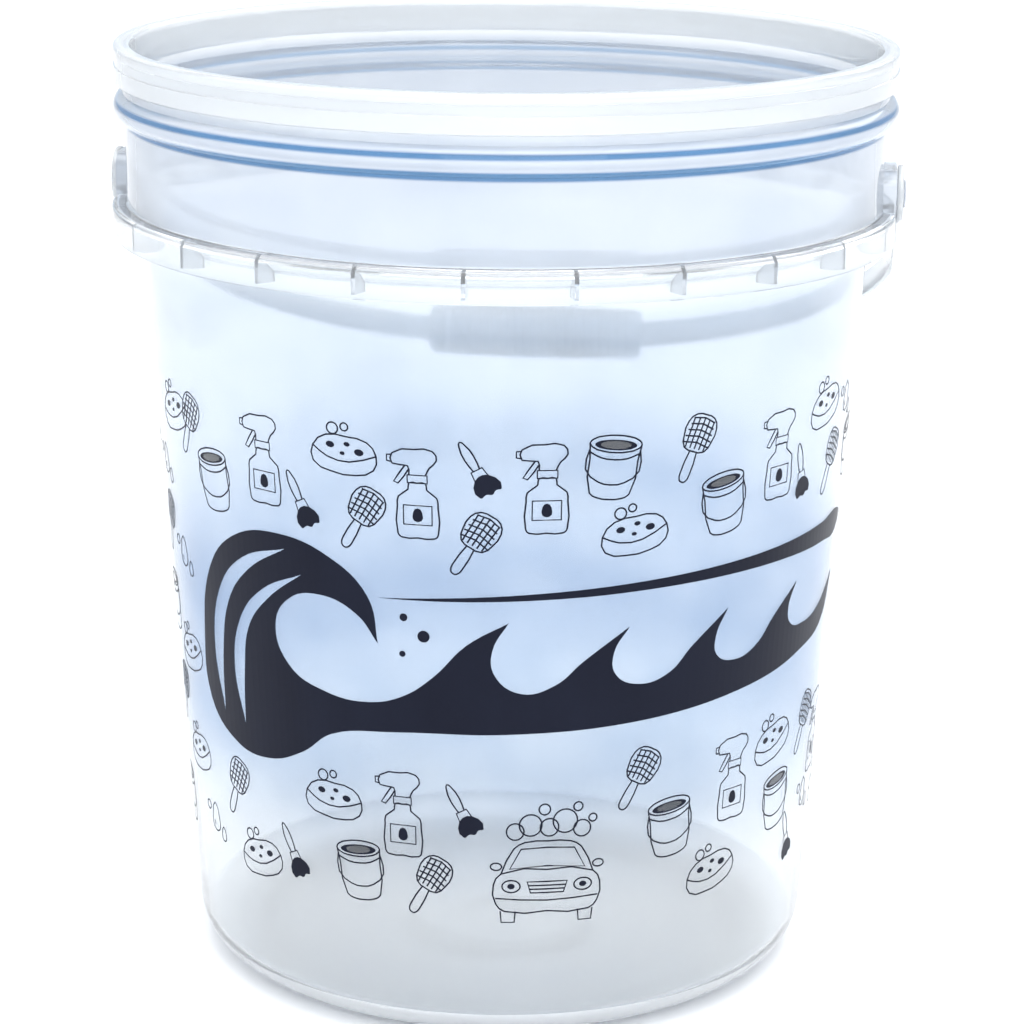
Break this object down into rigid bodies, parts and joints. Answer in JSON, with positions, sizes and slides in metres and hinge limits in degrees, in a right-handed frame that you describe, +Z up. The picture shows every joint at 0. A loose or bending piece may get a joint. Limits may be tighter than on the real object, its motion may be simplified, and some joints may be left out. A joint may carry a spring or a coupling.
{
  "type": "wash bucket",
  "caption": "Clear plastic wash bucket with a rolled rim, a lid bead, a ribbed stacking skirt and a swinging plastic bail handle.",
  "frame": {"origin": "centre of the pail's underside, on the ground", "axes": "+Z up along the pail's axis; the ears and the bail's hinge line lie along X, right_ear at +X; the printed front faces -Y, and the bail hangs against the back wall at +Y"},
  "size_m": [0.3154, 0.3183, 0.371],
  "materials": {
    "clear_plastic": "glossy, clear with a slight milky tint",
    "bail_plastic": "glossy, translucent"
  },
  "bodies": {
    "pail": {"floor_panel": "clear_plastic", "foot_ring": "clear_plastic", "side_wall": "clear_plastic", "stacking_shoulder": "clear_plastic", "neck_wall": "clear_plastic", "lid_bead": "clear_plastic", "rolled_rim": "clear_plastic", "skirt_front": "clear_plastic", "skirt_back": "clear_plastic", "right_ear": "clear_plastic", "left_ear": "clear_plastic"},
    "bail": {"right_hub": "bail_plastic", "right_strap": "bail_plastic", "left_hub": "bail_plastic", "left_strap": "bail_plastic", "grip": "bail_plastic"}
  },
  "joints": [
    {"name": "bail_hinge", "type": "hinge", "parent": "pail", "child": "bail", "pos_m": [0, 0, 0.314], "axis": [1, 0, 0], "range_deg": [0, 242.6]}
  ]
}
